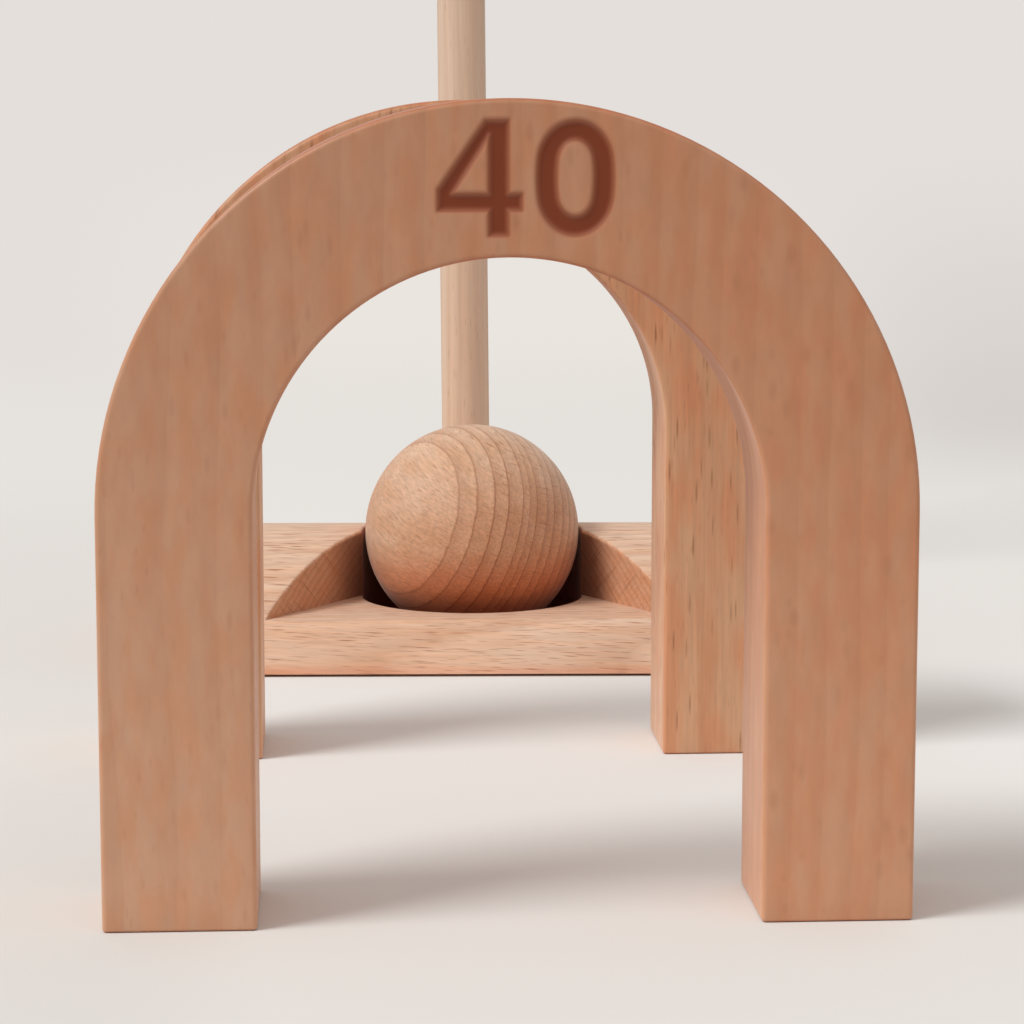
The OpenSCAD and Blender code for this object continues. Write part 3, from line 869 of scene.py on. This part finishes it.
def paper_tones(tree, place):
    """Tones of the paper near the set and of the backdrop behind it, with painted light and shade: the
    light's fall-off, a brighter middle behind the set, lighter paper between the pieces and darker paper in
    front of them. They change in wedges that spread out behind the set from a point in front of it: aside is
    the way to the right over the distance from that point along Y, and nearness is 0.1 m over the same
    distance."""
    start, least, middle_aside = 0.56, 0.15, 0.003
    parts = add(tree, "SeparateXYZ", {0: place})
    distance = add(tree, "Math", {0: parts.outputs[1], 1: start}, operation="ADD")
    distance = add(tree, "Math", {0: distance, 1: least}, operation="MAXIMUM")
    aside = add(tree, "Math", {0: parts, 1: distance}, operation="DIVIDE")
    nearness = add(tree, "Math", {0: 0.1, 1: distance}, operation="DIVIDE")

    # far behind the set a bright wedge stands in the middle
    off_middle = add(tree, "Math", {0: aside, 1: middle_aside}, operation="SUBTRACT")
    off_middle = add(tree, "Math", {0: off_middle}, operation="ABSOLUTE")
    middle = add(tree, "MapRange", {"Value": off_middle, "From Min": 0.15, "From Max": 0.04}, **EASED)
    comes = add(tree, "MapRange", {"Value": nearness, "From Min": 0.004, "From Max": 0.06}, **EASED)
    bright = add(tree, "Math", {0: middle, 1: comes}, operation="MULTIPLY")

    # the light falls off to the right behind the set, and to the left beside it
    to_right = add(tree, "MapRange", {"Value": aside, "From Min": 0.09, "From Max": 0.18}, **EASED)
    deepens = add(tree, "MapRange", {"Value": nearness, "From Min": 0.004, "From Max": 0.09}, **EASED)
    lifts = add(tree, "MapRange", {"Value": nearness, "From Min": 0.135, "From Max": 0.1}, **EASED)
    dusk = add(tree, "Math", {0: to_right, 1: deepens}, operation="MULTIPLY")
    dusk = add(tree, "Math", {0: dusk, 1: lifts}, operation="MULTIPLY")
    to_left = {"Value": aside, "From Min": -0.06, "From Max": -0.14, "To Max": 0.5}
    to_left = add(tree, "MapRange", to_left, **EASED)
    closer = add(tree, "MapRange", {"Value": nearness, "From Min": 0.1, "From Max": 0.155}, **EASED)
    passes = add(tree, "MapRange", {"Value": nearness, "From Min": 0.6, "From Max": 0.3}, **EASED)
    closer = add(tree, "Math", {0: closer, 1: passes}, operation="MULTIPLY")
    near_dusk = add(tree, "Math", {0: to_left, 1: closer, 2: dusk}, operation="MULTIPLY_ADD")

    # painted light between the pieces and painted shade in front of them
    amid = add(tree, "MapRange", {"Value": nearness, "From Min": 0.182, "From Max": 0.2}, **EASED)
    front = add(tree, "MapRange", {"Value": nearness, "From Min": 0.212, "From Max": 0.262}, **EASED)
    near, far = linear(PAPER), linear(BACKDROP)
    for share, tone in ((amid, PAPER_PAINTED_LIGHT_AMID), (front, PAPER_PAINTED_SHADE_FRONT), (near_dusk, PAPER_DUSK)):
        near = add(tree, "Mix", {0: share, 6: near, 7: linear(tone)}, data_type="RGBA")
    for share, tone in ((bright, BACKDROP_BRIGHT), (dusk, BACKDROP_DUSK)):
        far = add(tree, "Mix", {0: share, 6: far, 7: linear(tone)}, data_type="RGBA")
    return near, far


def backdrop_paper():
    """Matt paper: no gloss, and no pattern that would show from a step away. It takes the pieces' shadows
    near them, and further out the camera sees the backdrop's own colour, so the floor has no edge. What
    the paper throws back on the pieces falls off away from the set."""
    material, tree = new_material("matt_backdrop_paper")
    place = add(tree, "TexCoord").outputs["Object"]
    near_tone, far_tone = paper_tones(tree, place)
    from_set = add(tree, "VectorMath", {0: place, 1: SET_MIDDLE}, operation="SUBTRACT")
    reach = add(tree, "VectorMath", {0: from_set}, operation="LENGTH")
    fade = add(tree, "MapRange", {"Value": reach, "From Min": 0.36, "From Max": 0.9}, **EASED)
    edge = add(tree, "MapRange", {"Value": reach, "From Min": 0.3, "From Max": 0.42}, **EASED)
    paper = add(tree, "BsdfDiffuse", {"Color": near_tone})
    dim = add(tree, "BsdfDiffuse", {"Color": linear(PAPER_DIM)})
    far = add(tree, "Emission", {"Color": far_tone, "Strength": 1.0})
    seen = add(tree, "LightPath").outputs["Is Camera Ray"]
    bounced = add(tree, "MixShader", {0: edge, 1: paper, 2: dim})
    shown = add(tree, "MixShader", {0: fade, 1: paper, 2: far})
    mixed = add(tree, "MixShader", {0: seen, 1: bounced, 2: shown})
    add(tree, "OutputMaterial", {"Surface": mixed})
    return material


def floor(material):
    """A wide flat disc, 0.05 mm under the pieces: circles round the origin, joined by quads."""
    rings, turns = np.array([0, 0.3, 1, 4, 40]), np.linspace(0, 2 * math.pi, 96, endpoint=False)
    x, y = rings[:, None] * np.cos(turns), rings[:, None] * np.sin(turns)
    points = np.stack([x, y, np.full_like(x, -0.05 * MM)], -1).reshape(-1, 3)
    faces = grid_faces(len(rings), len(turns), closed=True)[:, ::-1]
    mesh = bpy.data.meshes.new("paper_floor")
    mesh.from_pydata(points.tolist(), [], faces.tolist())
    mesh.materials.append(material)
    made = bpy.data.objects.new("paper_floor", mesh)
    bpy.context.scene.collection.objects.link(made)


def world_light(strength):
    """Even fill from all round, and the backdrop's colour where the camera looks past the floor."""
    world = bpy.data.worlds.new("studio")
    bpy.context.scene.world = world
    world.use_nodes = True
    tree = world.node_tree
    tree.nodes.clear()
    fill = add(tree, "Background", {"Color": linear(WORLD_LIGHT), "Strength": strength})
    seen = add(tree, "Background", {"Color": linear(BACKDROP), "Strength": 1.0})
    camera_ray = add(tree, "LightPath").outputs["Is Camera Ray"]
    mixed = add(tree, "MixShader", {0: camera_ray, 1: fill, 2: seen})
    add(tree, "OutputWorld", {"Surface": mixed})


def soft_box(name, azimuth, elevation, distance, width, height, level):
    """An oval lamp that faces the set from an azimuth, counted from +Y towards -X, and an elevation, in
    degrees. The level is what it adds on a white card that faces it. Its sizes are in metres."""
    data = bpy.data.lights.new(name, "AREA")
    data.shape = "ELLIPSE"
    data.size, data.size_y = width, height
    data.energy = level * math.pi ** 2 * distance ** 2
    data.color = linear(WINDOW_LIGHT)[:3]
    lamp = bpy.data.objects.new(name, data)
    bpy.context.scene.collection.objects.link(lamp)
    a, e = math.radians(azimuth), math.radians(elevation)
    way = Vector((-math.sin(a) * math.cos(e), math.cos(a) * math.cos(e), math.sin(e)))
    aim = Vector((0, -0.08, 0))  # between the cradle and the rear wicket
    lamp.location = way * distance + aim
    lamp.rotation_euler = way.to_track_quat("Z", "Y").to_euler()
    lamp.visible_camera = False


def camera():
    """A long lens low in front of the set, which looks down the line of play."""
    focal_px, image_px, sensor = 2997, 1024, 36.0
    look_down, turn_left = math.radians(7.69), math.radians(-1.0)
    data = bpy.data.cameras.new("camera")
    data.sensor_width = sensor
    data.lens = focal_px / image_px * sensor
    made = bpy.data.objects.new("camera", data)
    bpy.context.scene.collection.objects.link(made)
    made.location = Vector((-2.2, -557.5, 99.9)) * MM
    made.rotation_euler = (math.pi / 2 - look_down, 0, turn_left)
    bpy.context.scene.camera = made


floor(backdrop_paper())
world_light(0.594)
soft_box("window_left", azimuth=116.6, elevation=50, distance=4.0, width=1.6, height=0.94, level=0.589)
camera()
bpy.context.scene.view_settings.view_transform = "Standard"
